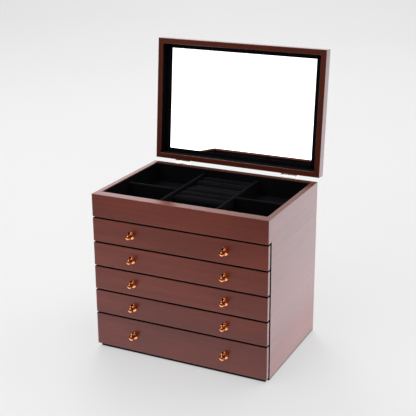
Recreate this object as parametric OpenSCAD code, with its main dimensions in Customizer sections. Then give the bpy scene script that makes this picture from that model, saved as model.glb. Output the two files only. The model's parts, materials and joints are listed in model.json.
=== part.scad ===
// Wooden jewellery chest: a body with five sliding drawers and a velvet-lined
// top tray under a hinged lid that carries a mirror on its inside.
// Origin: centre of the underside of the base felt. +X right, -Y front, +Z up.
// Drawn with the drawers closed and the lid open against its hinge stops.

/* [Body] */
// Width of the body over the side panels
body_w = 300; // [260:1:360]
// Depth of the body, from the drawer faces to the back
body_d = 206; // [180:1:260]
// Thickness of the side, back and lid frame boards
board_t = 9; // [8:0.5:12]
// How far the side panels stand behind the drawer faces
side_setback = 12.5; // [11.5:0.5:16]
// Thickness of the base board
base_t = 5.5; // [4:0.5:5.5]
// How far the front of the base board stands behind the drawer faces
base_setback = 5; // [4:0.5:8]
// How far the front of the base board ends short of the side faces
base_inset = 4; // [2:0.5:8]
// Thickness of the felt under the base
felt_t = 0.5; // [0.5:0.25:2]

/* [Drawers] */
// Height of each upper drawer front
front_h = 39; // [35:0.5:50]
// Height of the bottom drawer front
bottom_front_h = 55; // [50:0.5:80]
// Thickness of a drawer front
front_t = 8; // [7:0.5:10.5]
// Gap between neighbouring fronts
front_gap = 2; // [1:0.25:3]
// Height of the bottom edge of the lowest front above the table
front_bottom = 6.5; // [4:0.5:7]
// Thickness of the shelves between the drawers
shelf_t = 3; // [2:0.5:4]
// Thickness of the sides and back of a drawer box
box_t = 6; // [5:0.5:8]
// Thickness of the drawer bottoms
bottom_t = 3; // [2:0.5:4]

/* [Tray] */
// Height of the fixed fascia in front of the tray
fascia_h = 37.5; // [32:0.5:50]
// Thickness of the rail behind the fascia
tray_rail_t = 4; // [3:0.5:6]
// Thickness of the velvet lining
lining_t = 0.8; // [0.6:0.1:1.5]
// How far the lining ends below the rim
lining_drop = 1.5; // [1:0.5:4]
// Thickness of the velvet-covered dividers
divider_t = 5.5; // [4:0.5:7]
// How far the dividers end below the rim
divider_drop = 8; // [6:0.5:12]
// Clear width of the middle section
middle_w = 92; // [80:1:110]
// Distance of the cross dividers' middle from the drawer faces
cross_at = 100; // [80:1:120]

/* [Ring pad] */
// Width of one narrow ring roll
roll_w = 17.5; // [14:0.5:18]
// Distance from one row of the pad to the next
row_pitch = 20.5; // [19:0.5:24]
// How far the tops of the rolls end below the rim
roll_drop = 11; // [9:0.5:15]
// Distance of the rearmost roll's middle from the back of the body
first_row_at = 20.5; // [19:0.5:26]

/* [Lid] */
// Overall height of the lid when it is closed
lid_h = 18.5; // [17:0.5:24]
// Depth from the lid's rim to the mirror
recess = 14.5; // [12:0.5:15]
// Thickness of the mirror plate
mirror_t = 1.5; // [1.5:0.25:3]
// Width of the black surround left and right of the mirror
surround_w = 10; // [4:0.5:12]
// Width of the black surround above and below the mirror
surround_end_w = 7; // [4:0.5:12]
// How far the lid leans back past upright when it is open
lean = 5; // [0:0.5:10]

/* [Hinges] */
// Length of a hinge
hinge_l = 28; // [24:1:36]
// Distance of each hinge's middle from the nearer side of the body
hinge_inset = 52; // [40:1:80]
// Distance of the hinge axis behind the back of the body
axis_back = 4.4; // [4.2:0.1:5]
// Height of the hinge axis above the rim
axis_up = 0.5; // [0.4:0.1:1]
// Outer radius of the knuckles
knuckle_r = 2.6; // [2.4:0.1:2.8]
// Radius of the hinge pin
pin_r = 1.2; // [1:0.1:1.4]
// Running clearance around the pin
pin_clearance = 0.05; // [0.03:0.01:0.08]

/* [Knobs] */
// Distance of each knob from the middle of the front
knob_x = 80; // [60:1:110]
// Radius of the round foot that lies on the drawer front
knob_foot_r = 6.3; // [5.5:0.1:7]
// Radius of the ball
knob_ball_r = 4.4; // [4:0.1:5]
// Distance of the ball's middle from the drawer face
knob_ball_at = 9.6; // [9:0.1:11]

/* [Hidden] */
$fn = 64;
eps = 0.01;
drawers = 5;
glue = 0.1;                 // joint left between boards that share one node
slide_gap = 1;              // beside and behind a drawer box
lift_gap = 0.5;             // under a drawer box
head_gap = 4;               // over a drawer box

// Body, all measured from the origin
side_x = body_w / 2;
front_y = -body_d / 2;
back_y = body_d / 2;
inner_x = side_x - board_t;
case_y = front_y + side_setback;
inner_back_y = back_y - board_t;
front_pitch = front_h + front_gap;
fascia_z = front_bottom + bottom_front_h + front_gap + (drawers - 1) * front_pitch;
rim_z = fascia_z + fascia_h;
shelf_lap = (shelf_t - front_gap) / 2;
tray_floor_z = fascia_z + 1;
tray_bed_z = tray_floor_z + shelf_t + lining_t;
base_lip_x = side_x - base_inset;
base_lip_y = front_y + base_setback;
felt_inset = 1;             // from the edges of the base board's front and of the back

// Tray
tray_front_y = case_y + tray_rail_t;
lined_x = inner_x - lining_t;
lined_front_y = tray_front_y + lining_t;
lined_back_y = inner_back_y - lining_t;
lining_top_z = rim_z - lining_drop;
divider_top_z = rim_z - divider_drop;
divider_x = middle_w / 2 + divider_t / 2;
cross_y = front_y + cross_at;

// Ring pad: rows counted from the back, the wide low pad stands in one of them
roll_rows = [0, 1, 3, 4, 5];
pad_row = 2;
pad_w = 21;
pad_step = 4;               // wide pad below the tops of the rolls
roll_gap = 0.3;             // from the dividers
roll_top_z = rim_z - roll_drop;

// Lid, drawn closed in its own frame: origin on the hinge axis
lid_z = axis_up;            // rim of the lid above the axis
lid_back_y = -axis_back;
lid_front_y = lid_back_y - body_d;
panel_t = lid_h - recess - mirror_t;
fit_gap = 0.3;              // around the mirror
panel_gap = 0.1;            // around the lid panel
surround_t = 1;

// Hinges
axis_y = back_y + axis_back;
axis_z = rim_z + axis_up;
leaf_t = 1.2;
leaf_h = 13;
leaf_edge = 0.3;            // from a leaf to the edge of its board
knuckle_gap = 0.2;
lid_knuckle_l = 9.6;
web_t = 1.3;
web_inset = 0.3;            // of the web from the lowest line of the knuckles
heel_l = 7;                 // from the hinge axis to the end of the stop heel
heel_top = 0.4;
heel_inset = 0.6;           // from the ends of the knuckle
heel_t = 1.6;
heel_gap = 0.05;
hinge_x = [-side_x + hinge_inset, side_x - hinge_inset];
screw_x = [-9, 9];
screw_up = 7.5;             // from the hinge axis to the screws
wood_screw_r = 1;
wood_screw_l = 8;
wood_head_r = 2;
wood_head_t = 1;
screw_clearance = 0.1;
pin_head_r = 1.9;
pin_head_t = 0.8;

// Knobs and their screws
foot_t = 1.6;
neck_r = 2.9;
waist_h = 2;                // height over which the foot narrows to the neck
knob_bore_depth = 8;
machine_r = 1.5;
machine_head_r = 3.6;
machine_head_t = 2;
machine_slack = 0.2;        // around the screw in the drawer front

open_turn = 90 + lean;

BODY = ["side_panel_left", "side_panel_right", "back_panel", "base_board", "base_felt",
        "top_fascia", "tray_front_rail", "tray_floor", "drawer_shelves", "tray_lining",
        "tray_divider_left", "tray_divider_right", "tray_cross_dividers", "ring_rolls",
        "ring_pad", "hinge_left_body_leaf", "hinge_right_body_leaf", "hinge_pins",
        "hinge_body_screws"];
LID = ["lid_rail_front", "lid_rail_back", "lid_rail_left", "lid_rail_right", "lid_panel",
       "lid_lining", "mirror", "mirror_surround", "hinge_left_lid_leaf",
       "hinge_right_lid_leaf", "hinge_lid_screws"];
DRAWER = ["front", "box", "bottom", "lining", "knobs", "screws"];

// ---- shared shapes ----

// A rectangular board between two corners
module board(low, high) {
    translate(low) cube(high - low);
}

// Countersunk wood screw along -Y, its head flush with y = 0
module wood_screw(slack = 0) {
    rotate([90, 0, 0]) {
        cylinder(r1 = wood_head_r + slack, r2 = wood_screw_r + slack, h = wood_head_t);
        cylinder(r = wood_screw_r + slack, h = wood_screw_l);
    }
}

// ---- body ----

module side_panel(side) {
    x = side > 0 ? inner_x : -side_x;
    color([0.45, 0.22, 0.19]) board([x, case_y, felt_t], [x + board_t, back_y, rim_z]);
}

module back_panel() {
    color([0.42, 0.20, 0.17])
        board([-inner_x, inner_back_y, felt_t], [inner_x, back_y, rim_z]);
}

// The base board lies between the side panels; its front reaches under the bottom drawer front
module base_board() {
    color([0.30, 0.13, 0.11]) translate([0, 0, felt_t]) linear_extrude(base_t)
        polygon([[-base_lip_x, base_lip_y], [base_lip_x, base_lip_y], [base_lip_x, case_y],
                 [inner_x, case_y], [inner_x, inner_back_y], [-inner_x, inner_back_y],
                 [-inner_x, case_y], [-base_lip_x, case_y]]);
}

module base_felt() {
    color([0.06, 0.06, 0.07])
        board([-base_lip_x + felt_inset, base_lip_y + felt_inset, 0],
              [base_lip_x - felt_inset, back_y - felt_inset, felt_t]);
}

module top_fascia() {
    color([0.45, 0.24, 0.20]) board([-side_x, front_y, fascia_z], [side_x, case_y, rim_z]);
}

module tray_front_rail() {
    color([0.45, 0.24, 0.20])
        board([-inner_x, case_y, tray_floor_z + shelf_t], [inner_x, tray_front_y, rim_z]);
}

module tray_floor() {
    color([0.40, 0.20, 0.17])
        board([-inner_x, case_y, tray_floor_z], [inner_x, inner_back_y, tray_floor_z + shelf_t]);
}

// Underside of drawer n's front, counted from the top
function front_z(n) = n == drawers ? front_bottom : fascia_z - n * front_pitch;
// Underside of the shelf that drawer n runs on
function shelf_z(n) = front_z(n) - front_gap - shelf_lap;
// Height of drawer n's front
function front_height(n) = n == drawers ? bottom_front_h : front_h;

module drawer_shelves() {
    color([0.40, 0.20, 0.17])
        for (n = [1:drawers - 1])
            board([-inner_x, case_y, shelf_z(n)], [inner_x, inner_back_y, shelf_z(n) + shelf_t]);
}

module tray_lining() {
    bed = tray_floor_z + shelf_t;
    color([0.04, 0.04, 0.05]) difference() {
        board([-inner_x, tray_front_y, bed], [inner_x, inner_back_y, lining_top_z]);
        board([-lined_x, lined_front_y, bed + lining_t], [lined_x, lined_back_y, rim_z]);
    }
}

module tray_divider(side) {
    x = side * divider_x;
    color([0.05, 0.05, 0.06])
        board([x - divider_t / 2, lined_front_y, tray_bed_z],
              [x + divider_t / 2, lined_back_y, divider_top_z]);
}

module tray_cross_dividers() {
    near = divider_x + divider_t / 2;
    color([0.05, 0.05, 0.06]) for (side = [-1, 1]) {
        x = side > 0 ? near : -lined_x;
        board([x, cross_y - divider_t / 2, tray_bed_z],
              [x + lined_x - near, cross_y + divider_t / 2, divider_top_z]);
    }
}

// One strip of the pad along X: flat sides and a round top of the given rise
module roll(width, top_z, rise) {
    length = middle_w - 2 * roll_gap;
    arc_r = (width * width / 4 + rise * rise) / (2 * rise);
    translate([-length / 2, 0, 0]) rotate([90, 0, 90]) linear_extrude(length) intersection() {
        translate([-width / 2, tray_bed_z]) square([width, top_z - tray_bed_z]);
        translate([0, top_z - arc_r]) circle(arc_r);
    }
}

function row_y(row) = back_y - first_row_at - row * row_pitch;

module ring_rolls() {
    color([0.06, 0.06, 0.07])
        for (row = roll_rows) translate([0, row_y(row), 0]) roll(roll_w, roll_top_z, roll_w / 2 - 1);
}

module ring_pad() {
    color([0.06, 0.06, 0.07])
        translate([0, row_y(pad_row), 0]) roll(pad_w, roll_top_z - pad_step, 2);
}

// ---- hinges, drawn about an axis along X through the origin ----

// Plate of a leaf that hangs down the back of the body, with a web out to each of its knuckles
module leaf_plate(spans) {
    difference() {
        board([-hinge_l / 2, lid_back_y, -axis_up - leaf_edge - leaf_h],
              [hinge_l / 2, lid_back_y + leaf_t, -axis_up - leaf_edge]);
        for (x = screw_x) translate([x, lid_back_y + leaf_t + eps, -screw_up]) wood_screw(screw_clearance);
    }
    for (span = spans)
        board([span[0], lid_back_y + leaf_t / 2, web_inset - knuckle_r],
              [span[1], 0, web_inset - knuckle_r + web_t]);
}

// Knuckle barrels along the axis
module knuckles(spans) {
    for (span = spans)
        translate([span[0], 0, 0]) rotate([0, 90, 0]) cylinder(r = knuckle_r, h = span[1] - span[0]);
}

// Bore along the axis, right through
module axis_bore(bore_r) {
    translate([-hinge_l, 0, 0]) rotate([0, 90, 0]) cylinder(r = bore_r, h = 2 * hinge_l);
}

module body_leaf() {
    inner = lid_knuckle_l / 2 + knuckle_gap;
    spans = [[-hinge_l / 2, -inner], [inner, hinge_l / 2]];
    difference() {
        union() {
            leaf_plate(spans);
            knuckles(spans);
        }
        axis_bore(pin_r);
    }
}

// Drawn closed: the plate stands up the back of the lid, and the heel meets the body leaf when open
module lid_leaf() {
    half = lid_knuckle_l / 2;
    difference() {
        union() {
            mirror([0, 0, 1]) leaf_plate([[-half, half]]);
            knuckles([[-half, half]]);
            rotate([open_turn, 0, 0])
                board([heel_inset - half, lid_back_y + leaf_t + heel_gap, -heel_l],
                      [half - heel_inset, lid_back_y + leaf_t + heel_gap + heel_t, -heel_top]);
        }
        axis_bore(pin_r + pin_clearance);
    }
}

// From the hinge frame to the body
module at_axis(x = 0) {
    translate([x, axis_y, axis_z]) children();
}

// From the closed lid's frame to its open place
module opened(x = 0) {
    at_axis(x) rotate([-open_turn, 0, 0]) children();
}

module hinge_body_leaf(side) {
    color([0.80, 0.78, 0.74]) at_axis(side * (side_x - hinge_inset)) body_leaf();
}

module hinge_lid_leaf(side) {
    color([0.80, 0.78, 0.74]) opened(side * (side_x - hinge_inset)) lid_leaf();
}

module hinge_pins() {
    color([0.85, 0.83, 0.80]) for (x = hinge_x) at_axis(x) rotate([0, 90, 0]) {
        translate([0, 0, -hinge_l / 2]) cylinder(r = pin_r, h = hinge_l);
        for (end = [-hinge_l / 2 - pin_head_t, hinge_l / 2])
            translate([0, 0, end]) cylinder(r = pin_head_r, h = pin_head_t);
    }
}

module leaf_screws() {
    for (x = screw_x) translate([x, lid_back_y + leaf_t, -screw_up]) wood_screw();
}

module hinge_body_screws() {
    color([0.75, 0.73, 0.70]) for (x = hinge_x) at_axis(x) leaf_screws();
}

module hinge_lid_screws() {
    color([0.75, 0.73, 0.70]) for (x = hinge_x) opened(x) mirror([0, 0, 1]) leaf_screws();
}

// ---- lid, drawn closed about the hinge axis ----

// A rail with mitred ends along X; its outer face is on y = 0
module mitred_rail(length) {
    translate([0, 0, lid_z]) linear_extrude(lid_h)
        polygon([[-length / 2, 0], [length / 2, 0], [length / 2 - board_t, board_t],
                 [-length / 2 + board_t, board_t]]);
}

module lid_rail_front() {
    color([0.42, 0.20, 0.16]) opened() translate([0, lid_front_y, 0]) mitred_rail(body_w);
}

module lid_rail_back() {
    color([0.42, 0.20, 0.16]) opened() translate([0, lid_back_y, 0]) mirror([0, 1, 0]) mitred_rail(body_w);
}

module lid_rail_side(side) {
    color([0.42, 0.20, 0.16]) opened()
        translate([side * side_x, (lid_front_y + lid_back_y) / 2, 0])
            rotate([0, 0, side * 90]) mitred_rail(body_d);
}

// A plate inside the lid frame, between two heights above the lid's rim
module lid_plate(low, high, side_gap, end_gap) {
    board([-inner_x + side_gap, lid_front_y + board_t + end_gap, lid_z + low],
          [inner_x - side_gap, lid_back_y - board_t - end_gap, lid_z + high]);
}

module lid_panel() {
    color([0.40, 0.19, 0.16]) opened() lid_plate(lid_h - panel_t, lid_h, panel_gap, panel_gap);
}

module mirror_plate() {
    color([0.92, 0.94, 0.95]) opened() lid_plate(recess, recess + mirror_t, fit_gap, fit_gap);
}

module mirror_surround() {
    color([0.03, 0.03, 0.04]) opened() difference() {
        lid_plate(recess - surround_t, recess, lining_t, lining_t);
        lid_plate(recess - surround_t - 1, recess + 1, lining_t + surround_w, lining_t + surround_end_w);
    }
}

module lid_lining() {
    color([0.04, 0.04, 0.05]) opened() difference() {
        lid_plate(lining_drop, recess, 0, 0);
        lid_plate(lining_drop - 1, recess + 1, lining_t, lining_t);
    }
}

// ---- drawers, counted from the top ----

drawer_x = inner_x - slide_gap;
drawer_y = front_y + front_t;
drawer_back_y = inner_back_y - slide_gap;

// Underside of drawer n's bottom board, just clear of what it runs on
function run_z(n) = lift_gap + (n == drawers ? felt_t + base_t : shelf_z(n) + shelf_t);
// Underside of the shelf or tray floor over drawer n
function roof_z(n) = n == 1 ? tray_floor_z : shelf_z(n - 1);
// Top edge of drawer n's box
function box_top_z(n) = roof_z(n) - head_gap;
// Height of the knobs on drawer n
function knob_z(n) = front_z(n) + front_height(n) / 2;

// Moves children from a knob's own axis, which points forward, to both knobs of drawer n
module at_knobs(n) {
    for (side = [-1, 1])
        translate([side * knob_x, front_y, knob_z(n)]) rotate([90, 0, 0]) children();
}

module drawer_front(n) {
    color([0.46, 0.24, 0.21]) difference() {
        board([-side_x, front_y, front_z(n)], [side_x, drawer_y, front_z(n) + front_height(n)]);
        at_knobs(n) {
            translate([0, 0, -front_t - 1]) cylinder(r = machine_r + machine_slack, h = front_t + 2);
            translate([0, 0, -front_t - 1])
                cylinder(r = machine_head_r + machine_slack, h = machine_head_t + machine_slack + 1);
        }
    }
}

module drawer_box(n) {
    low = run_z(n) + bottom_t;
    color([0.36, 0.18, 0.15]) {
        for (x = [-drawer_x, drawer_x - box_t])
            board([x, drawer_y, low], [x + box_t, drawer_back_y, box_top_z(n)]);
        board([-drawer_x + box_t + glue, drawer_back_y - box_t, low],
              [drawer_x - box_t - glue, drawer_back_y, box_top_z(n)]);
    }
}

module drawer_bottom(n) {
    color([0.36, 0.18, 0.15])
        board([-drawer_x, drawer_y, run_z(n)], [drawer_x, drawer_back_y, run_z(n) + bottom_t]);
}

module drawer_lining(n) {
    low = run_z(n) + bottom_t;
    x = drawer_x - box_t;
    color([0.04, 0.04, 0.05]) difference() {
        board([-x, drawer_y, low], [x, drawer_back_y - box_t, box_top_z(n) - lining_drop]);
        board([-x + lining_t, drawer_y + lining_t, low + lining_t],
              [x - lining_t, drawer_back_y - box_t - lining_t, box_top_z(n)]);
    }
}

// A turned knob: rounded foot, waisted neck and ball, with a blind hole for its screw
module drawer_knobs(n) {
    edge_r = foot_t / 2;
    flare = knob_foot_r - edge_r - neck_r;
    waist = [for (a = [0:15:90]) [neck_r + flare * (1 - sin(a)), foot_t + waist_h * (1 - cos(a))]];
    color([0.85, 0.50, 0.30]) at_knobs(n) difference() {
        union() {
            rotate_extrude() {
                translate([knob_foot_r - edge_r, edge_r]) circle(edge_r, $fn = 32);
                polygon(concat([[0, 0], [knob_foot_r - edge_r, 0]], waist,
                               [[neck_r, knob_ball_at], [0, knob_ball_at]]));
            }
            translate([0, 0, knob_ball_at]) sphere(knob_ball_r);
        }
        translate([0, 0, -1]) cylinder(r = machine_r, h = knob_bore_depth + 1);
    }
}

module drawer_screws(n) {
    color([0.75, 0.73, 0.70]) at_knobs(n) {
        translate([0, 0, -front_t + machine_head_t / 2])
            cylinder(r = machine_r, h = front_t - machine_head_t / 2 + knob_bore_depth - 1);
        translate([0, 0, -front_t]) cylinder(r = machine_head_r, h = machine_head_t);
    }
}

side_panel(-1);  // side_panel_left
side_panel(1);  // side_panel_right
back_panel();
base_board();
base_felt();
top_fascia();
tray_front_rail();
tray_floor();
drawer_shelves();
tray_lining();
tray_divider(-1);  // tray_divider_left
tray_divider(1);  // tray_divider_right
tray_cross_dividers();
ring_rolls();
ring_pad();
hinge_body_leaf(-1);  // hinge_left_body_leaf
hinge_body_leaf(1);  // hinge_right_body_leaf
hinge_pins();
hinge_body_screws();
lid_rail_front();
lid_rail_back();
lid_rail_side(-1);  // lid_rail_left
lid_rail_side(1);  // lid_rail_right
lid_panel();
lid_lining();
mirror_plate();  // mirror
mirror_surround();
hinge_lid_leaf(-1);  // hinge_left_lid_leaf
hinge_lid_leaf(1);  // hinge_right_lid_leaf
hinge_lid_screws();
for (n = [1:drawers]) {
    drawer_front(n);
    drawer_box(n);
    drawer_bottom(n);
    drawer_lining(n);
    drawer_knobs(n);
    drawer_screws(n);
}
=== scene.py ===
"""Looks of the wooden jewellery chest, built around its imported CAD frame.

Metres, +Z up, front towards -Y. The places of all pieces come from the CAD nodes' boxes. The
lid is modelled shut and its meshes are then turned open, as it stands at rest.
"""

import json
import math
import random

import bmesh
import bpy
from mathutils import Matrix, Vector

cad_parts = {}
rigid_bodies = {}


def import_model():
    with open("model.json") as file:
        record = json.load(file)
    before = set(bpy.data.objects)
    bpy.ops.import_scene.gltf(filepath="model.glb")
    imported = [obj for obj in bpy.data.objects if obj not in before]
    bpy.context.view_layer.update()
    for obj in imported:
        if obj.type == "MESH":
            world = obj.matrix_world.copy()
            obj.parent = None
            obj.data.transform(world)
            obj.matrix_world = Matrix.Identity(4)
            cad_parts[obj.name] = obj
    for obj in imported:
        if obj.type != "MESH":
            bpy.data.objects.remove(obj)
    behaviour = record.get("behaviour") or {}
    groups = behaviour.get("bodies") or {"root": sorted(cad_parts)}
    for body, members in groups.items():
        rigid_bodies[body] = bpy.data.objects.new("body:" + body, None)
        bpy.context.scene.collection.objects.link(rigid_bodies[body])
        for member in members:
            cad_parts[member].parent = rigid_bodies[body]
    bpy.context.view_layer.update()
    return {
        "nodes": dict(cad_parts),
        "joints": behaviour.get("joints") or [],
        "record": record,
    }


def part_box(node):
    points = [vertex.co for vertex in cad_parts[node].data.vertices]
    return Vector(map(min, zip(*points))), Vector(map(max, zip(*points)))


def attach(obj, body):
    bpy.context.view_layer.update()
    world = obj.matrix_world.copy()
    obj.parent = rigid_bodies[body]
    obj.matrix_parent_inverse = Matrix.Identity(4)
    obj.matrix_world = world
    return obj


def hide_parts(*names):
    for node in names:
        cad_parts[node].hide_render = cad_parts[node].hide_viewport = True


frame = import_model()

MM = 0.001
NEAR = 0.01 * MM
X, Y, Z = Vector((1, 0, 0)), Vector((0, 1, 0)), Vector((0, 0, 1))
DRAWERS = range(1, 6)

# ---- camera, from the view that the chest is seen in ----

CAMERA_AT = Vector((0.6503, -1.3291, 0.7414))
CAMERA_AZIMUTH = math.radians(25.98)
CAMERA_ELEVATION = math.radians(19.04)
CAMERA_ROLL = math.radians(-0.35)
CAMERA_LENS = 84.56


def make_camera():
    """A perspective camera that looks at the chest from the front right and a little above."""
    across = Vector((math.cos(CAMERA_AZIMUTH), math.sin(CAMERA_AZIMUTH), 0))
    level = Vector((-math.sin(CAMERA_AZIMUTH), math.cos(CAMERA_AZIMUTH), 0))
    forward = level * math.cos(CAMERA_ELEVATION) - Z * math.sin(CAMERA_ELEVATION)
    up = across.cross(forward)
    right = across * math.cos(CAMERA_ROLL) + up * math.sin(CAMERA_ROLL)
    top = right.cross(forward)
    data = bpy.data.cameras.new("camera")
    data.lens = CAMERA_LENS
    data.clip_start, data.clip_end = 0.01, 50
    camera = bpy.data.objects.new("camera", data)
    camera.matrix_world = Matrix.Translation(CAMERA_AT) @ Matrix(
        (right, top, -forward)).transposed().to_4x4()
    bpy.context.scene.collection.objects.link(camera)
    bpy.context.scene.camera = camera


# ---- node materials ----

def material(name):
    """A new node material: (material, its node tree, its Principled shader)."""
    made = bpy.data.materials.new(name)
    made.use_nodes = True
    tree = made.node_tree
    return made, tree, tree.nodes["Principled BSDF"]


def add(tree, kind, inputs=None, **settings):
    """A node with its inputs set to values, or linked where the value is a socket."""
    made = tree.nodes.new("ShaderNode" + kind)
    for key, value in settings.items():
        setattr(made, key, value)
    for key, value in (inputs or {}).items():
        feed(tree, made.inputs[key], value)
    return made


def feed(tree, socket, value):
    """Links an input to another node's output, or sets it to a plain value."""
    if isinstance(value, bpy.types.NodeSocket):
        tree.links.new(value, socket)
    else:
        socket.default_value = value


def ramp(tree, factor, stops):
    """A colour ramp through (position, colour) stops."""
    made = add(tree, "ValToRGB", {"Fac": factor})
    points = made.color_ramp.elements
    while len(points) < len(stops):
        points.new(0.5)
    for point, (place, colour) in zip(points, stops):
        point.position = place
        point.color = (*colour, 1)
    return made.outputs["Color"]


def grey_ramp(tree, factor, stops):
    """A ramp through (position, level) stops of grey."""
    return ramp(tree, factor, [(place, (level,) * 3) for place, level in stops])


def noise(tree, where, scale, stretch=(1, 1, 1), detail=4, roughness=0.5, distortion=0):
    """Noise with about `scale` features a metre, times stretch along each axis."""
    placed = add(tree, "Mapping", {"Vector": where, "Scale": [scale * s for s in stretch]})
    made = add(tree, "TexNoise", {"Vector": placed.outputs["Vector"], "Scale": 1, "Detail": detail,
                                  "Roughness": roughness, "Distortion": distortion})
    return made.outputs["Fac"]


def mix(tree, factor, a, b, blend="MIX"):
    """Two colours mixed, each given as a socket or as plain numbers."""
    made = add(tree, "Mix", data_type="RGBA", blend_type=blend)
    feed(tree, made.inputs[0], factor)
    for socket, value in ((made.inputs[6], a), (made.inputs[7], b)):
        feed(tree, socket, (*value, 1) if isinstance(value, tuple) else value)
    return made.outputs[2]


def bump(tree, height, strength, distance, normal=None):
    """A bumped normal, on top of another bump where normal is given."""
    inputs = {"Height": height, "Strength": strength, "Distance": distance}
    if normal is not None:
        inputs["Normal"] = normal
    return add(tree, "Bump", inputs).outputs["Normal"]


def grain_place(tree):
    """Texture coordinates in metres, the first along the grain, stored on each wooden mesh."""
    return add(tree, "Attribute", attribute_name="grain").outputs["Vector"]


def object_place(tree):
    """Texture coordinates in metres on meshes that store no grain."""
    return add(tree, "TexCoord").outputs["Object"]


def stored(tree, name):
    """A number that each wooden mesh stores on its vertices."""
    return add(tree, "Attribute", attribute_name=name).outputs["Fac"]


def worn_and_highlit_edges(tree, where):
    """How much lighter the surface is painted: patchy along eased edges, nothing on flat faces; partly
    rubbed wear, partly painted highlight.
    """
    patches = noise(tree, where, 70, (0.4, 1, 1), detail=4, roughness=0.6)
    patches = grey_ramp(tree, patches, [(0.35, 0.15), (0.7, 0.75)])
    return mix(tree, stored(tree, "edge"), (0, 0, 0), patches)


def red_stain_with_painted_light(tree, where, fibre, pores):
    """Red-brown stain with broad figure and clouds, fine strands and dark pores; edges painted lighter,
    partly as wear and partly as painted highlight; lid rails darkened partly as painted shade.
    """
    figure = noise(tree, where, 46, (0.05, 1, 1), detail=4, distortion=0.5)
    stain = ramp(tree, figure, [(0.36, (0.140, 0.0228, 0.0091)), (0.52, (0.160, 0.0265, 0.0106)),
                                (0.68, (0.180, 0.0310, 0.0125))])
    strands = ramp(tree, fibre, [(0.35, (0.78, 0.74, 0.70)), (0.62, (1.06, 1.06, 1.06))])
    stain = mix(tree, 0.45, stain, strands, "MULTIPLY")
    cloud = noise(tree, where, 9, (0.6, 1, 1), detail=3)
    clouds = ramp(tree, cloud, [(0.38, (0.80, 0.76, 0.76)), (0.64, (1.16, 1.14, 1.10))])
    stain = mix(tree, 0.6, stain, clouds, "MULTIPLY")
    stain = mix(tree, pores, stain, (0.035, 0.006, 0.003))
    # Eased edges painted lighter: partly rubbed wear, partly painted highlight.
    stain = mix(tree, worn_and_highlit_edges(tree, where), stain, (0.205, 0.062, 0.030))
    # The stored multiplier darkens the lid rails, partly as painted shade and partly as the wood's own
    # tone.
    return mix(tree, 1.0, stain, stored(tree, "shade_and_tone"), "MULTIPLY")


def lacquered_wood():
    """Deep red-brown stained wood under satin lacquer."""
    made, tree, shader = material("lacquered_wood")
    where = grain_place(tree)
    fibre = noise(tree, where, 420, (0.02, 1, 1), detail=8, roughness=0.6)
    pores = noise(tree, where, 1500, (0.03, 1, 1), detail=2, roughness=0.4)
    pores = grey_ramp(tree, pores, [(0.60, 0.0), (0.72, 0.35)])
    feed(tree, shader.inputs["Base Color"], red_stain_with_painted_light(tree, where, fibre, pores))
    feed(tree, shader.inputs["Roughness"], grey_ramp(tree, fibre, [(0.3, 0.55), (0.7, 0.45)]))
    shader.inputs["Specular IOR Level"].default_value = 0.1
    shader.inputs["Coat Weight"].default_value = 1.0
    shader.inputs["Coat Roughness"].default_value = 0.25
    shader.inputs["Coat IOR"].default_value = 1.5
    normal = bump(tree, fibre, 0.10, 0.0002)
    feed(tree, shader.inputs["Normal"], bump(tree, pores, -0.12, 0.0002, normal))
    ripple = noise(tree, where, 90, (0.4, 1, 1), detail=2)
    feed(tree, shader.inputs["Coat Normal"], bump(tree, ripple, 0.005, 0.0003))
    return made


def painted_gap_shade():
    """Near-black colour painted on the edges that face a gap, as painted shade in the gaps."""
    made, tree, shader = material("painted_gap_shade")
    fibre = noise(tree, grain_place(tree), 420, (0.03, 1, 1), detail=6)
    feed(tree, shader.inputs["Base Color"],
         ramp(tree, fibre, [(0.35, (0.006, 0.003, 0.002)), (0.65, (0.016, 0.008, 0.006))]))
    feed(tree, shader.inputs["Roughness"], grey_ramp(tree, fibre, [(0.3, 0.8), (0.7, 0.65)]))
    shader.inputs["Specular IOR Level"].default_value = 0.05
    return made


def inner_wood():
    """The same stain without lacquer, inside the case and on the drawer boxes."""
    made, tree, shader = material("inner_wood")
    where = grain_place(tree)
    fibre = noise(tree, where, 380, (0.03, 1, 1), detail=7, roughness=0.6)
    figure = noise(tree, where, 40, (0.06, 1, 1), detail=3, distortion=0.4)
    stain = ramp(tree, figure, [(0.3, (0.060, 0.020, 0.013)), (0.7, (0.105, 0.038, 0.025))])
    strands = ramp(tree, fibre, [(0.35, (0.6, 0.58, 0.56)), (0.65, (1.1, 1.1, 1.1))])
    feed(tree, shader.inputs["Base Color"], mix(tree, 0.7, stain, strands, "MULTIPLY"))
    feed(tree, shader.inputs["Roughness"], grey_ramp(tree, fibre, [(0.3, 0.75), (0.7, 0.6)]))
    feed(tree, shader.inputs["Normal"], bump(tree, fibre, 0.3, 0.0003))
    return made


def velvet(name, depth, lit):
    """Short-pile fabric: depth is its colour to look into, lit where the pile is brushed."""
    made, tree, shader = material(name)
    where = object_place(tree)
    brushed = noise(tree, where, 30, (1, 1, 0.6), detail=4, roughness=0.6)
    pile = noise(tree, where, 2600, detail=3, roughness=0.7)
    colour = ramp(tree, brushed, [(0.35, depth), (0.68, lit)])
    tips = ramp(tree, pile, [(0.3, (0.5, 0.5, 0.5)), (0.7, (1.4, 1.4, 1.4))])
    feed(tree, shader.inputs["Base Color"], mix(tree, 0.6, colour, tips, "MULTIPLY"))
    shader.inputs["Roughness"].default_value = 0.95
    shader.inputs["Specular IOR Level"].default_value = 0.15
    shader.inputs["Sheen Weight"].default_value = 0.05
    shader.inputs["Sheen Roughness"].default_value = 0.35
    shader.inputs["Sheen Tint"].default_value = (0.45, 0.48, 0.56, 1)
    normal = bump(tree, pile, 0.5, 0.0003)
    feed(tree, shader.inputs["Normal"], bump(tree, brushed, 0.2, 0.002, normal))
    return made


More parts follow.
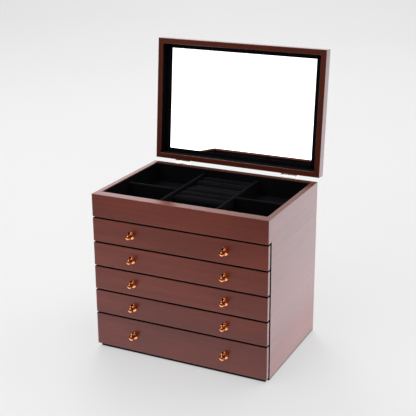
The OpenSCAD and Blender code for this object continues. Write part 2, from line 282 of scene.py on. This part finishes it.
def metal(name, colour, tarnish, roughness):
    """Polished metal, clouded here and there to its tarnish colour, with fine scratches."""
    made, tree, shader = material(name)
    where = object_place(tree)
    cloud = noise(tree, where, 260, detail=4)
    scratches = noise(tree, where, 1800, (1, 0.15, 1), detail=3, roughness=0.7)
    feed(tree, shader.inputs["Base Color"], ramp(tree, cloud, [(0.35, tarnish), (0.65, colour)]))
    shader.inputs["Metallic"].default_value = 1.0
    feed(tree, shader.inputs["Roughness"],
         grey_ramp(tree, scratches, [(0.35, roughness), (0.75, roughness * 1.6)]))
    feed(tree, shader.inputs["Normal"], bump(tree, scratches, 0.06, 0.0001))
    return made


def mirror_glass():
    """Silvered glass, a trace duller where it is dusty."""
    made, tree, shader = material("mirror_glass")
    dust = noise(tree, object_place(tree), 90, detail=6, roughness=0.7)
    feed(tree, shader.inputs["Base Color"],
         ramp(tree, dust, [(0.3, (0.955, 0.965, 0.962)), (0.8, (0.935, 0.948, 0.945))]))
    shader.inputs["Metallic"].default_value = 1.0
    feed(tree, shader.inputs["Roughness"], grey_ramp(tree, dust, [(0.4, 0.004), (0.9, 0.02)]))
    return made


def floor_paint():
    """Matt pale studio floor with a hint of unevenness, which glows a little by itself."""
    made, tree, shader = material("studio_floor")
    cloud = noise(tree, object_place(tree), 0.7, detail=2)
    feed(tree, shader.inputs["Base Color"], grey_ramp(tree, cloud, [(0.3, 0.27), (0.7, 0.285)]))
    shader.inputs["Roughness"].default_value = 0.9
    shader.inputs["Specular IOR Level"].default_value = 0.1
    shader.inputs["Emission Color"].default_value = (1, 1, 1, 1)
    shader.inputs["Emission Strength"].default_value = 0.50
    return made


WOOD = lacquered_wood()
PAINTED_GAP_SHADE = painted_gap_shade()
INNER_WOOD = inner_wood()
VELVET = velvet("velvet", (0.0028, 0.0028, 0.0038), (0.0038, 0.0041, 0.0052))
FELT = velvet("felt", (0.006, 0.006, 0.006), (0.012, 0.012, 0.012))
COPPER = metal("copper", (0.95, 0.42, 0.17), (0.88, 0.33, 0.12), 0.10)
NICKEL = metal("hinge_metal", (0.83, 0.80, 0.75), (0.75, 0.72, 0.68), 0.16)
STEEL = metal("screw_steel", (0.62, 0.61, 0.60), (0.52, 0.51, 0.50), 0.28)
MIRROR = mirror_glass()

# ---- the lid's hinge ----

HINGE = next(j for j in frame["joints"] if j["name"] == "lid_hinge")
HINGE_AT = Vector(HINGE["pos_m"])
CLOSE_TURN = math.radians(HINGE["range_deg"][1])
CLOSED = (Matrix.Translation(HINGE_AT) @ Matrix.Rotation(CLOSE_TURN, 4, Vector(HINGE["axis"]))
          @ Matrix.Translation(-HINGE_AT))
OPENED = CLOSED.inverted()


def closed_box(node):
    """Lowest and highest corner of a lid node when the lid is shut."""
    points = [CLOSED @ v.co for v in frame["nodes"][node].data.vertices]
    return (Vector(min(p[i] for p in points) for i in range(3)),
            Vector(max(p[i] for p in points) for i in range(3)))


# ---- mesh helpers ----

def body_of_node(node):
    """The body that moves a CAD node."""
    return next(b for b, nodes in frame["record"]["behaviour"]["bodies"].items() if node in nodes)


SHARP_TURN = math.radians(40)


def piece(name, bm, paint, node, lid=False, grain=None, shade_and_tone=1.0):
    """Turns a bmesh into a piece that stands for a CAD node, and frees the bmesh.

    A lid's piece comes in modelled shut. Wood has a direction of grain, and its stain is
    multiplied by shade_and_tone, which darkens the lid rails partly as painted shade.
    """
    bmesh.ops.recalc_face_normals(bm, faces=bm.faces)
    data = bpy.data.meshes.new(name)
    if grain is not None:
        lay_grain(bm, grain, name)
        lay_edge_and_shade_marks(bm, shade_and_tone)
    if lid:
        bm.transform(OPENED)
    for face in bm.faces:
        face.smooth = True
    for edge in bm.edges:
        edge.smooth = edge.calc_face_angle(0) < SHARP_TURN
    bm.to_mesh(data)
    bm.free()
    made = bpy.data.objects.new(name, data)
    bpy.context.scene.collection.objects.link(made)
    made.data.materials.append(paint)
    made.modifiers.new("even_normals", "WEIGHTED_NORMAL").keep_sharp = True
    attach(made, body_of_node(node))
    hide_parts(node)
    return made


def lay_grain(bm, along, name):
    """Stores grain-aligned coordinates, shifted so that no two boards share their figure."""
    shift = random.Random(name)
    away = Vector([shift.uniform(-3, 3) for _ in range(3)])
    across = Z if abs(along.z) < 0.5 else X
    third = along.cross(across)
    layer = bm.verts.layers.float_vector.new("grain")
    for v in bm.verts:
        v[layer] = Vector((v.co.dot(along), v.co.dot(across), v.co.dot(third))) + away


def lay_edge_and_shade_marks(bm, shade_and_tone):
    """Stores 1 in the middle of eased edges and 0 around flat faces, where wear and painted highlight go,
    and the stain's multiplier, which darkens the lid rails partly as painted shade.
    """
    edge_layer = bm.verts.layers.float.new("edge")
    shade_and_tone_layer = bm.verts.layers.float.new("shade_and_tone")
    for v in bm.verts:
        flat = any(max(abs(c) for c in face.normal) > 0.999 for face in v.link_faces)
        v[edge_layer] = 0.0 if flat else 1.0
        v[shade_and_tone_layer] = shade_and_tone


EASE_STEPS, EASE_PROFILE = 3, 0.6


def add_board(bm, low, high, ease=0, sharp=()):
    """A board between two corners with eased edges.

    Edges that lie on the sharp planes, given as (axis, place), aren't eased.
    """
    made = bmesh.ops.create_cube(bm, size=1)["verts"]
    size, middle = high - low, (high + low) / 2
    for v in made:
        v.co = Vector([middle[i] + v.co[i] * size[i] for i in range(3)])
    if ease:
        edges = dict.fromkeys(e for v in made for e in v.link_edges if not on_planes(e, sharp))
        bmesh.ops.bevel(bm, geom=list(edges), offset=ease, segments=EASE_STEPS, profile=EASE_PROFILE,
                        affect="EDGES", clamp_overlap=True)


def on_planes(edge, planes):
    """Whether an edge lies on one of the planes, given as (axis, place)."""
    return any(all(abs(v.co[axis] - place) < NEAR for v in edge.verts) for axis, place in planes)


def board(name, node, low, high, paint, grain, ease, sharp=(), lid=False):
    """A piece that is one board."""
    bm = bmesh.new()
    add_board(bm, low, high, ease, sharp)
    return piece(name, bm, paint, node, lid, grain)


def paint_faces(made, paint, chosen):
    """Gives another material to the faces for which chosen(face) is true."""
    made.data.materials.append(paint)
    for face in made.data.polygons:
        if chosen(face):
            face.material_index = 1


def paint_node(node, paint):
    """Gives a carried-over CAD node its material."""
    frame["nodes"][node].data.materials.clear()
    frame["nodes"][node].data.materials.append(paint)


def lathe(bm, profile, centre, axis, steps):
    """Turns (radius, height) points about an axis through centre."""
    side = axis.orthogonal().normalized()
    other = axis.cross(side)
    rings = []
    for radius, height in profile:
        base = centre + axis * height
        if radius < NEAR:
            rings.append([bm.verts.new(base)])
            continue
        turn = [2 * math.pi * k / steps for k in range(steps)]
        rings.append([bm.verts.new(base + (side * math.cos(a) + other * math.sin(a)) * radius)
                      for a in turn])
    for lower, upper in zip(rings, rings[1:]):
        for k in range(steps):
            corners = [lower[k % len(lower)], lower[(k + 1) % len(lower)],
                       upper[(k + 1) % len(upper)], upper[k % len(upper)]]
            unique = list(dict.fromkeys(corners))
            if len(unique) > 2:
                bm.faces.new(unique)


# ---- the case ----

FASCIA_LOW, FASCIA_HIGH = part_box("top_fascia")
SIDE_EASE = 0.9 * MM
INNER_EASE = 0.4 * MM
THIN_EASE = 0.3 * MM
RAIL_EASE = 0.5 * MM


def make_side_panel(name):
    """A side panel; its joint with the fascia is flush and stays sharp, and its front edge below the fascia
    is painted near-black as shade.
    """
    node = "side_panel_" + name
    low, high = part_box(node)
    bm = bmesh.new()
    add_board(bm, low, high)
    front = [f for f in bm.faces if f.normal.y < -0.5]
    around = dict.fromkeys(part for f in front for part in (*f.verts, *f.edges))
    bmesh.ops.bisect_plane(bm, geom=[*around, *front], plane_co=(0, 0, FASCIA_LOW.z), plane_no=Z)
    seam = [e for e in bm.edges if all(abs(v.co.z - FASCIA_LOW.z) < NEAR for v in e.verts)]
    front_edges = [e for e in bm.edges if all(abs(v.co.y - low.y) < NEAR for v in e.verts)]
    eased = [e for e in bm.edges if e not in seam and e not in front_edges]
    bmesh.ops.bevel(bm, geom=eased, offset=SIDE_EASE, segments=EASE_STEPS, profile=EASE_PROFILE,
                    affect="EDGES")
    panel = piece(node + "_wood", bm, WOOD, node, grain=Y)
    # Painted shade: the front edge below the fascia, in the gap behind the drawer fronts, is painted
    # near-black.
    paint_faces(panel, PAINTED_GAP_SHADE, lambda face: face.normal.y < -0.9 and face.center.z < FASCIA_LOW.z)


def make_case():
    """Side panels, back, fascia, tray floor and front rail, base, felt and shelves."""
    for name in ("left", "right"):
        make_side_panel(name)
    low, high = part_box("back_panel")
    back = board("back_panel_wood", "back_panel", low, high, WOOD, X, SIDE_EASE,
                 sharp=[(0, low.x), (0, high.x)])
    paint_faces(back, INNER_WOOD, lambda face: face.normal.z > 0.5)
    fascia = board("top_fascia_wood", "top_fascia", FASCIA_LOW, FASCIA_HIGH, WOOD, X, SIDE_EASE,
                   sharp=[(1, FASCIA_HIGH.y)])
    # Painted shade: the fascia's underside, over the top drawer's gap, is painted near-black.
    paint_faces(fascia, PAINTED_GAP_SHADE, lambda face: face.normal.z < -0.6)
    low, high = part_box("tray_front_rail")
    board("tray_front_rail_wood", "tray_front_rail", low, high, WOOD, X, RAIL_EASE,
          sharp=[(1, low.y), (0, low.x), (0, high.x)])
    make_base_board()
    low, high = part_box("tray_floor")
    board("tray_floor_wood", "tray_floor", low, high, INNER_WOOD, X, INNER_EASE)
    low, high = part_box("base_felt")
    board("base_felt_sheet", "base_felt", low, high, FELT, X, THIN_EASE)
    make_shelves()


def make_base_board():
    """The base board between the side panels, with a front painted near-black as shade, which reaches under
    the drawers.
    """
    low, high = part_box("base_board")
    inner_x, case_front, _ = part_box("side_panel_right")[0]
    joint = [(1, case_front)]
    bm = bmesh.new()
    add_board(bm, Vector((-inner_x, case_front, low.z)), Vector((inner_x, high.y, high.z)), INNER_EASE,
              joint)
    add_board(bm, low, Vector((high.x, case_front, high.z)), INNER_EASE, joint)
    base = piece("base_board_wood", bm, INNER_WOOD, "base_board", grain=X)
    # Painted shade: the base board's front under the drawers is painted near-black.
    paint_faces(base, PAINTED_GAP_SHADE, lambda face: face.center.y < case_front - NEAR)


def make_shelves():
    """The four shelves, found as the separate heights in their CAD node."""
    low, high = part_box("drawer_shelves")
    levels = sorted({round(v.co.z, 5) for v in frame["nodes"]["drawer_shelves"].data.vertices})
    bm = bmesh.new()
    for bottom, top in zip(levels[::2], levels[1::2]):
        add_board(bm, Vector((low.x, low.y, bottom)), Vector((high.x, high.y, top)), INNER_EASE)
    piece("drawer_shelf_boards", bm, INNER_WOOD, "drawer_shelves", grain=X)


# ---- the drawers ----

FRONT_EASE = 1.1 * MM
BOX_EASE = 0.5 * MM
LINING = 0.8 * MM
KNOB_BALL_R = 4.4 * MM
KNOB_STEPS = 64


def make_drawer(n):
    """Drawer n, counted from the top: front, bottom, box, lining, knobs and their screws."""
    name = f"drawer_{n}_"
    low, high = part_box(name + "front")
    front = board(name + "front_board", name + "front", low, high, WOOD, X, FRONT_EASE)
    # Painted shade: the top, bottom and back faces of the front, which face the gaps, are painted
    # near-black.
    paint_faces(front, PAINTED_GAP_SHADE, lambda face: abs(face.normal.z) > 0.6 or face.normal.y > 0.3)
    low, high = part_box(name + "bottom")
    board(name + "bottom_board", name + "bottom", low, high, INNER_WOOD, X, THIN_EASE)
    make_drawer_box(name)
    make_drawer_lining(name)
    make_knobs(name)
    paint_node(name + "screws", STEEL)


def make_drawer_box(name):
    """Two sides and a back of the drawer box, around its lining."""
    low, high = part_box(name + "box")
    inside_low, inside_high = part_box(name + "lining")
    bm = bmesh.new()
    for start, end in ((low.x, inside_low.x), (inside_high.x, high.x)):
        add_board(bm, Vector((start, low.y, low.z)), Vector((end, high.y, high.z)), BOX_EASE)
    add_board(bm, Vector((inside_low.x, inside_high.y, low.z)), Vector((inside_high.x, high.y, high.z)),
              BOX_EASE)
    piece(name + "box_boards", bm, INNER_WOOD, name + "box", grain=X)


def add_lining(bm, low, high, wall, top_ease):
    """Fabric-covered cards: a floor and four walls with soft top edges."""
    add_board(bm, low, Vector((high.x, high.y, low.z + wall)))
    for start, end in ((low.x, low.x + wall), (high.x - wall, high.x)):
        add_board(bm, Vector((start, low.y, low.z)), Vector((end, high.y, high.z)), top_ease)
    for start, end in ((low.y, low.y + wall), (high.y - wall, high.y)):
        add_board(bm, Vector((low.x, start, low.z)), Vector((high.x, end, high.z)), top_ease)


def make_drawer_lining(name):
    """The velvet inside a drawer."""
    low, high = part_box(name + "lining")
    bm = bmesh.new()
    add_lining(bm, low, high, LINING, THIN_EASE)
    piece(name + "lining_cloth", bm, VELVET, name + "lining")


def knob_profile(foot_r, ball_r, length):
    """Radius and height of a turned knob: rounded foot, waisted neck and ball."""
    foot, neck_r, waist_h = 1.6 * MM, 2.9 * MM, 2 * MM
    ball_at = length - ball_r
    edge = foot / 2
    turns = [math.radians(a) for a in range(-90, 91, 15)]
    points = [(0, 0)]
    points += [(foot_r - edge + edge * math.cos(a), edge + edge * math.sin(a)) for a in turns]
    waist = [math.radians(a) for a in range(10, 91, 10)]
    points += [(neck_r + (foot_r - edge - neck_r) * (1 - math.sin(a)), foot + waist_h * (1 - math.cos(a)))
               for a in waist]
    meet = math.asin(neck_r / ball_r)
    steps = 20
    for k in range(steps + 1):
        a = meet + (math.pi - meet) * k / steps
        points.append((max(ball_r * math.sin(a), 0), ball_at - ball_r * math.cos(a)))
    return points


def make_knobs(name):
    """The drawer's two knobs, on the face of its front."""
    low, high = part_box(name + "knobs")
    foot_r = (high.z - low.z) / 2
    profile = knob_profile(foot_r, KNOB_BALL_R, high.y - low.y)
    bm = bmesh.new()
    for x in (low.x + foot_r, high.x - foot_r):
        lathe(bm, profile, Vector((x, high.y, (low.z + high.z) / 2)), -Y, KNOB_STEPS)
    piece(name + "knobs_turned", bm, COPPER, name + "knobs")


# ---- the tray ----

DIVIDER_EASE = 1.6 * MM
LINING_EASE = 0.35 * MM


def make_tray():
    """The tray's velvet lining, its dividers and its ring rolls."""
    low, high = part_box("tray_lining")
    bm = bmesh.new()
    add_lining(bm, low, high, LINING, LINING_EASE)
    piece("tray_lining_cloth", bm, VELVET, "tray_lining")
    for node in ("tray_divider_left", "tray_divider_right"):
        low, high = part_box(node)
        board(node + "_cloth", node, low, high, VELVET, Y, DIVIDER_EASE)
    low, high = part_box("tray_cross_dividers")
    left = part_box("tray_divider_left")[0].x
    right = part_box("tray_divider_right")[1].x
    bm = bmesh.new()
    for start, end in ((low.x, left), (right, high.x)):
        add_board(bm, Vector((start, low.y, low.z)), Vector((end, high.y, high.z)), DIVIDER_EASE)
    piece("tray_cross_divider_cloth", bm, VELVET, "tray_cross_dividers")
    make_ring_rolls()


STRIP_GAP = 2.5 * MM
ROLL_RISE, PAD_RISE = 7.5 * MM, 2.5 * MM
END_SINK, END_DROP, END_REACH = 0.22, 0.3, 2.2 * MM
STEPS_ALONG, STEPS_AROUND = 40, 16


def roll_spans(node):
    """Front-to-back stretches of the separate strips in a node."""
    ys = sorted({round(v.co.y, 5) for v in frame["nodes"][node].data.vertices})
    spans = [[ys[0], ys[0]]]
    for y in ys:
        if y - spans[-1][1] > STRIP_GAP:
            spans.append([y, y])
        spans[-1][1] = y
    return spans


def add_roll(bm, low, high, rise):
    """A stuffed strip along X with a round top that sinks in towards its ends."""
    length, width = high.x - low.x, high.y - low.y
    rings = []
    for i in range(STEPS_ALONG + 1):
        t = i / STEPS_ALONG
        end = min(t, 1 - t) * length
        shrink = 1 - END_SINK * math.exp(-end / END_REACH)
        x = low.x + length * t
        ring = []
        for k in range(STEPS_AROUND + 1):
            a = math.pi * k / STEPS_AROUND
            y = (low.y + high.y) / 2 - math.cos(a) * width / 2 * shrink
            z = high.z - rise + math.sin(a) * rise * shrink - (1 - shrink) * rise * END_DROP
            ring.append(bm.verts.new((x, y, z)))
        ring.append(bm.verts.new((x, ring[-1].co.y, low.z)))
        ring.insert(0, bm.verts.new((x, ring[0].co.y, low.z)))
        rings.append(ring)
    for a, b in zip(rings, rings[1:]):
        for k in range(len(a)):
            bm.faces.new((a[k], a[(k + 1) % len(a)], b[(k + 1) % len(b)], b[k]))
    bm.faces.new(rings[0][::-1])
    bm.faces.new(rings[-1])


def make_ring_rolls():
    """The narrow ring rolls and the wide low pad between them, both stuffed."""
    low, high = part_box("ring_rolls")
    bm = bmesh.new()
    for start, end in roll_spans("ring_rolls"):
        add_roll(bm, Vector((low.x, start, low.z)), Vector((high.x, end, high.z)), ROLL_RISE)
    piece("ring_rolls_cloth", bm, VELVET, "ring_rolls")
    low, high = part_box("ring_pad")
    bm = bmesh.new()
    add_roll(bm, low, high, PAD_RISE)
    piece("ring_pad_cloth", bm, VELVET, "ring_pad")


# ---- the lid, modelled shut ----

# The lid rails' stain is darkened, partly as painted shade and partly as the wood's own tone.
RAIL_SHADE_AND_TONE = 0.63
MIRROR_EASE = 0.8 * MM
SURROUND_SIDE, SURROUND_END = 10 * MM, 7 * MM


def add_mitred_rail(bm, outer, inner, low_z, high_z):
    """One rail of the frame, with its long edges eased: outer and inner are its faces' (start, end)."""
    base = [bm.verts.new((p.x, p.y, low_z)) for p in (outer[0], outer[1], inner[1], inner[0])]
    top = [bm.verts.new((v.co.x, v.co.y, high_z)) for v in base]
    bm.faces.new(base[::-1])
    bm.faces.new(top)
    for k in range(4):
        bm.faces.new((base[k], base[(k + 1) % 4], top[(k + 1) % 4], top[k]))
    half = (outer[1] - outer[0]).length / 2
    long_edges = [e for e in bm.edges if e.calc_length() > half]
    bmesh.ops.bevel(bm, geom=long_edges, offset=SIDE_EASE, segments=EASE_STEPS, profile=EASE_PROFILE,
                    affect="EDGES")


def make_lid_frame():
    """Four rails mitred at the corners, from the front one round to the left one."""
    low = closed_box("lid_rail_front")[0]
    back_low, high = closed_box("lid_rail_back")
    wall = high.y - back_low.y
    corners = [Vector(c) for c in ((low.x, low.y), (high.x, low.y), (high.x, high.y), (low.x, high.y))]
    inwards = [Vector(c) for c in ((1, 1), (-1, 1), (-1, -1), (1, -1))]
    inner = [corner + way * wall for corner, way in zip(corners, inwards)]
    for k, (name, grain) in enumerate((("front", X), ("right", Y), ("back", X), ("left", Y))):
        j = (k + 1) % 4
        bm = bmesh.new()
        add_mitred_rail(bm, (corners[k], corners[j]), (inner[k], inner[j]), low.z, high.z)
        piece(f"lid_rail_{name}_wood", bm, WOOD, f"lid_rail_{name}", lid=True, grain=grain, shade_and_tone=RAIL_SHADE_AND_TONE)


def make_lid():
    """The rails, the panel, the mirror, its black surround and the lining strips."""
    make_lid_frame()
    low, high = closed_box("lid_panel")
    board("lid_panel_wood", "lid_panel", low, high, WOOD, X, THIN_EASE, lid=True)
    low, high = closed_box("mirror")
    board("mirror_plate", "mirror", low, high, MIRROR, None, MIRROR_EASE, lid=True)
    make_surround()
    make_lid_lining()


def add_frame(bm, low, high, side, end, ease):
    """Four strips flat around a rectangle: side wide at the left and right, end at the other two."""
    for left, right in ((low.x, low.x + side), (high.x - side, high.x)):
        add_board(bm, Vector((left, low.y, low.z)), Vector((right, high.y, high.z)), ease)
    for front, back in ((low.y, low.y + end), (high.y - end, high.y)):
        add_board(bm, Vector((low.x, front, low.z)), Vector((high.x, back, high.z)), ease)


def make_surround():
    """The black frame around the mirror."""
    low, high = closed_box("mirror_surround")
    bm = bmesh.new()
    add_frame(bm, low, high, SURROUND_SIDE, SURROUND_END, INNER_EASE)
    piece("mirror_surround_cloth", bm, VELVET, "mirror_surround", lid=True)


def make_lid_lining():
    """The black strips on the inner faces of the rails."""
    low, high = closed_box("lid_lining")
    bm = bmesh.new()
    add_frame(bm, low, high, LINING, LINING, LINING_EASE)
    piece("lid_lining_cloth", bm, VELVET, "lid_lining", lid=True)


# ---- hinges ----

HINGES = ("hinge_left_body_leaf", "hinge_right_body_leaf", "hinge_left_lid_leaf",
          "hinge_right_lid_leaf", "hinge_pins")


def paint_hinges():
    for node in HINGES:
        paint_node(node, NICKEL)
    for node in ("hinge_body_screws", "hinge_lid_screws"):
        paint_node(node, STEEL)


# ---- studio ----

POOL_WAY = (-0.35, 0, -1)
FRONT_GLOW, POOL_GLOW, BEHIND_GLOW = (0.01, 0.01, 0.01), (1.34, 1.36, 1.54), (1.1, 1.1, 1.1)
FLOOR_RADIUS = 9
CARD_LEVEL = 0.002
CHEST_MIDDLE, KNOBS_MIDDLE, MIRROR_MIDDLE = (0, 0, 0.15), (0, -0.1, 0.13), (0, 0.12, 0.37)


def area_light(name, place, aim, size, power, seen_in=("diffuse",)):
    """A soft rectangular light, hidden from the camera, seen by diffuse or glossy rays or both."""
    data = bpy.data.lights.new(name, "AREA")
    data.shape = "RECTANGLE"
    data.size, data.size_y = size
    data.energy = power
    made = bpy.data.objects.new(name, data)
    made.location = place
    made.rotation_mode = "QUATERNION"
    made.rotation_quaternion = (Vector(aim) - Vector(place)).to_track_quat("-Z", "Y")
    made.visible_camera = False
    made.visible_diffuse = "diffuse" in seen_in
    made.visible_glossy = "glossy" in seen_in
    bpy.context.scene.collection.objects.link(made)
    return made


def card(name, place, aim, size, brightness, tint=(1, 1, 1), only=()):
    """A card that shows only in reflections, as bright as brightness says.

    Where objects are given in only, it shows in no others.
    """
    area = size[0] * size[1]
    made = area_light(name, place, aim, size, brightness * math.pi * area, seen_in=("glossy",))
    made.data.color = tint
    if only:
        light_only(made, only)


def light_only(light, parts):
    """Lets a light reach only the given objects."""
    lit = bpy.data.collections.new("lit_by_" + light.name)
    for part in parts:
        lit.objects.link(part)
    light.light_linking.receiver_collection = lit


def floor_card(name, x, y, size, brightness, tint=(1, 1, 1), only=()):
    """A card that lies on the floor and faces up, as a patch of lit floor in reflections."""
    card(name, (x, y, CARD_LEVEL), (x, y, 1), size, brightness, tint, only)


def smooth_step(tree, value, low, high):
    """0 up to low and 1 from high on, with a smooth change between them."""
    return add(tree, "MapRange", {"Value": value, "From Min": low, "From Max": high},
               interpolation_type="SMOOTHSTEP").outputs["Result"]


def make_world():
    """Surroundings for reflections: dim in front, but for a bright pool low on the left, and bright behind.

    The floor is left out of reflections, so its light is drawn here for them.
    """
    world = bpy.data.worlds.new("studio")
    bpy.context.scene.world = world
    world.use_nodes = True
    tree = world.node_tree
    where = add(tree, "TexCoord").outputs["Generated"]
    split = add(tree, "SeparateXYZ", {"Vector": where})
    behind = smooth_step(tree, split.outputs["Y"], 0.0, 0.7)
    low_left = add(tree, "VectorMath", {0: where, 1: POOL_WAY}, operation="DOT_PRODUCT")
    pool = smooth_step(tree, low_left.outputs["Value"], 0.53, 0.575)
    front = mix(tree, pool, FRONT_GLOW, POOL_GLOW)
    background = tree.nodes["Background"]
    feed(tree, background.inputs["Color"], mix(tree, behind, front, BEHIND_GLOW))
    background.inputs["Strength"].default_value = 1.0


def make_floor():
    """A wide floor disc that isn't part of the chest and doesn't show in reflections."""
    bm = bmesh.new()
    bmesh.ops.create_circle(bm, cap_ends=True, radius=FLOOR_RADIUS, segments=96)
    data = bpy.data.meshes.new("floor")
    bm.to_mesh(data)
    bm.free()
    floor = bpy.data.objects.new("floor", data)
    bpy.context.scene.collection.objects.link(floor)
    floor.data.materials.append(floor_paint())
    floor.visible_glossy = False


def make_lamps(fronts):
    """Soft lamps for matt surfaces, and a small one for the lower drawer fronts."""
    area_light("overhead", (0, 0.2, 3.0), (0, 0.2, 0), (4, 4), 105)
    area_light("far_wash", (-2.1, 5.0, 2.6), (-2.1, 5.0, 0), (4, 4), 70)
    area_light("back_left", (-1.3, 1.9, 2.6), (0, 0, 0.1), (1.0, 1.0), 22)
    area_light("front", (-0.9, -2.5, 1.3), CHEST_MIDDLE, (2.2, 1.6), 27)
    low_fill = area_light("low_fill", (-0.28, -0.45, 0.04), (-0.05, -0.1, 0.04), (0.3, 0.08), 0.30)
    light_only(low_fill, fronts)


def make_cards(mirror, knobs, hinges):
    """What shows in the lacquer, and in the knobs, the mirror and the hinges alone."""
    floor_card("side_card", 0.870, 1.45, (1.34, 3.6), 0.84, (1, 0.80, 0.90))
    floor_card("foot_card", 0.176, 0.45, (0.048, 1.6), 0.72, (1, 0.47, 0.52))
    card("rim_card", (-1.15, 2.15, 1.05), (-0.1, 0, 0.26), (1.5, 1.1), 0.42, (1, 0.79, 1))
    card("edge_card", (-0.95, -0.95, 1.95), CHEST_MIDDLE, (0.6, 1.4), 4.5)
    card("knob_card", (0.3, -1.6, 1.3), KNOBS_MIDDLE, (4, 3), 0.24, (1, 0.6, 0.45), only=knobs)
    card("knob_spark", (-1.2, 1.15, 2.0), KNOBS_MIDDLE, (0.9, 0.6), 3.5, only=knobs)
    card("mirror_card", (-0.95, -2.0, 0.10), MIRROR_MIDDLE, (1.1, 0.9), 1.3, only=mirror)
    card("mirror_far", (0, -3.5, 1.2), MIRROR_MIDDLE, (8, 4), 0.8, only=mirror)
    floor_card("mirror_floor", 0, -2.22, (8, 4.2), 0.75, only=mirror)
    card("hinge_card", (-0.6, -1.0, 1.2), HINGE_AT, (2.4, 2.4), 1.5, only=hinges)


def make_studio():
    """World, floor, lamps and cards around the finished pieces."""
    objects = bpy.data.objects
    make_world()
    make_floor()
    make_lamps([objects["top_fascia_wood"]] + [objects[f"drawer_{n}_front_board"] for n in DRAWERS])
    make_cards(mirror=[objects["mirror_plate"]],
               knobs=[objects[f"drawer_{n}_knobs_turned"] for n in DRAWERS],
               hinges=[frame["nodes"][node] for node in HINGES])


make_camera()
make_case()
for number in DRAWERS:
    make_drawer(number)
make_tray()
make_lid()
paint_hinges()
make_studio()
bpy.context.scene.view_settings.view_transform = "Standard"
